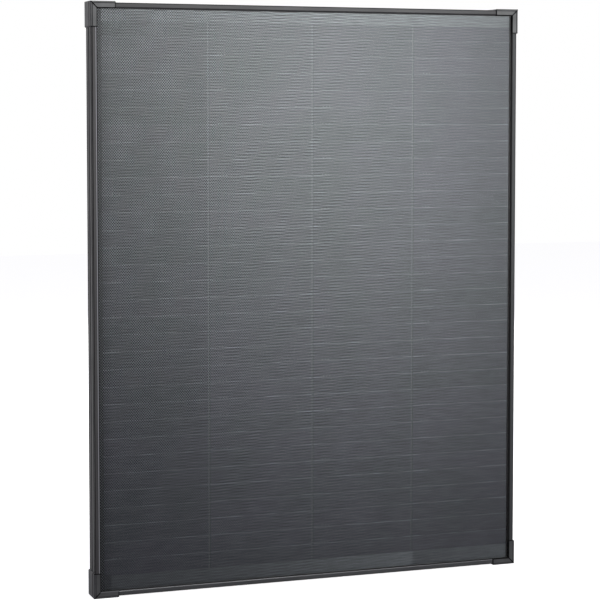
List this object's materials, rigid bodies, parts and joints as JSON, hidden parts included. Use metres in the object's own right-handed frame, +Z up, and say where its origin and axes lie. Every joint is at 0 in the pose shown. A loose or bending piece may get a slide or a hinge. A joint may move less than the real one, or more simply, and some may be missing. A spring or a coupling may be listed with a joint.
{
  "type": "framed solar panel",
  "caption": "Upright framed black solar panel with shingled cells, plastic corner protectors and a hinged-lid junction box on the back.",
  "frame": {"origin": "bottom centre of the whole panel, corner protectors included", "axes": "+Z up along the long side, +X to the right of someone looking at the glass, the glass faces -Y and the junction box faces +Y"},
  "size_m": [0.674, 0.0364, 0.864],
  "materials": {
    "frame_anodised": "black anodised, satin",
    "key_metal": "mill finish",
    "protector_plastic": "moulded, fine grain",
    "seal_black": "smooth cured sealant",
    "panel_glass": "tempered, fine pressed texture",
    "encapsulant_clear": "clear film",
    "encapsulant_black": "black film",
    "cell_silicon": "textured monocrystalline silicon",
    "ribbon_metal": "tinned copper",
    "cover_film": "dark grey film",
    "insulation_film": "black film",
    "backsheet_film": "white film",
    "label_film": "satin foil, blank",
    "box_plastic": "moulded, fine grain",
    "gasket_rubber": "silicone rubber",
    "box_adhesive": "cured silicone",
    "terminal_metal": "tin plated",
    "screw_steel": "zinc plated",
    "diode_body": "moulded epoxy",
    "gland_plastic": "moulded nylon"
  },
  "bodies": {
    "panel": {"backsheet": "backsheet_film", "bus_ribbon_bottom": "ribbon_metal", "bus_ribbon_top": "ribbon_metal", "bypass_diode": "diode_body", "cell_string_1": "cell_silicon", "cell_string_2": "cell_silicon", "cell_string_3": "cell_silicon", "cell_string_4": "cell_silicon", "corner_key_bottom_left": "key_metal", "corner_key_bottom_right": "key_metal", "corner_key_top_left": "key_metal", "corner_key_top_right": "key_metal", "corner_protector_bottom_left": "protector_plastic", "corner_protector_bottom_right": "protector_plastic", "corner_protector_top_left": "protector_plastic", "corner_protector_top_right": "protector_plastic", "cover_strip_bottom": "cover_film", "cover_strip_top": "cover_film", "encapsulant_front": "encapsulant_clear", "encapsulant_rear": "encapsulant_black", "frame_rail_bottom": "frame_anodised", "frame_rail_left": "frame_anodised", "frame_rail_right": "frame_anodised", "frame_rail_top": "frame_anodised", "frame_seal_bottom": "seal_black", "frame_seal_left": "seal_black", "frame_seal_right": "seal_black", "frame_seal_top": "seal_black", "front_glass": "panel_glass", "gland_body_left": "gland_plastic", "gland_body_right": "gland_plastic", "gland_locknut_left": "gland_plastic", "gland_locknut_right": "gland_plastic", "gland_seal_left": "gasket_rubber", "gland_seal_right": "gasket_rubber", "junction_box_adhesive": "box_adhesive", "junction_box_base": "box_plastic", "junction_box_gasket": "gasket_rubber", "lead_insulation": "insulation_film", "lead_ribbon_bottom": "ribbon_metal", "lead_ribbon_top": "ribbon_metal", "lid_hinge_pins": "screw_steel", "rating_label": "label_film", "terminal_negative": "terminal_metal", "terminal_positive": "terminal_metal", "terminal_screws": "screw_steel"},
    "lid": {"junction_box_lid": "box_plastic"},
    "nut_left": {"gland_nut_left": "gland_plastic"},
    "nut_right": {"gland_nut_right": "gland_plastic"}
  },
  "joints": [
    {"name": "lid_hinge", "type": "hinge", "parent": "panel", "child": "lid", "pos_m": [0, 0.01125, 0.7904], "axis": [1, 0, 0], "range_deg": [0, 110]},
    {"name": "nut_left_turn", "type": "hinge", "parent": "panel", "child": "nut_left", "pos_m": [-0.03, 0.00105, 0.6867], "axis": [0, 0, -1], "range_deg": [0, 720]},
    {"name": "nut_right_turn", "type": "hinge", "parent": "panel", "child": "nut_right", "pos_m": [0.03, 0.00105, 0.6867], "axis": [0, 0, -1], "range_deg": [0, 720]}
  ]
}
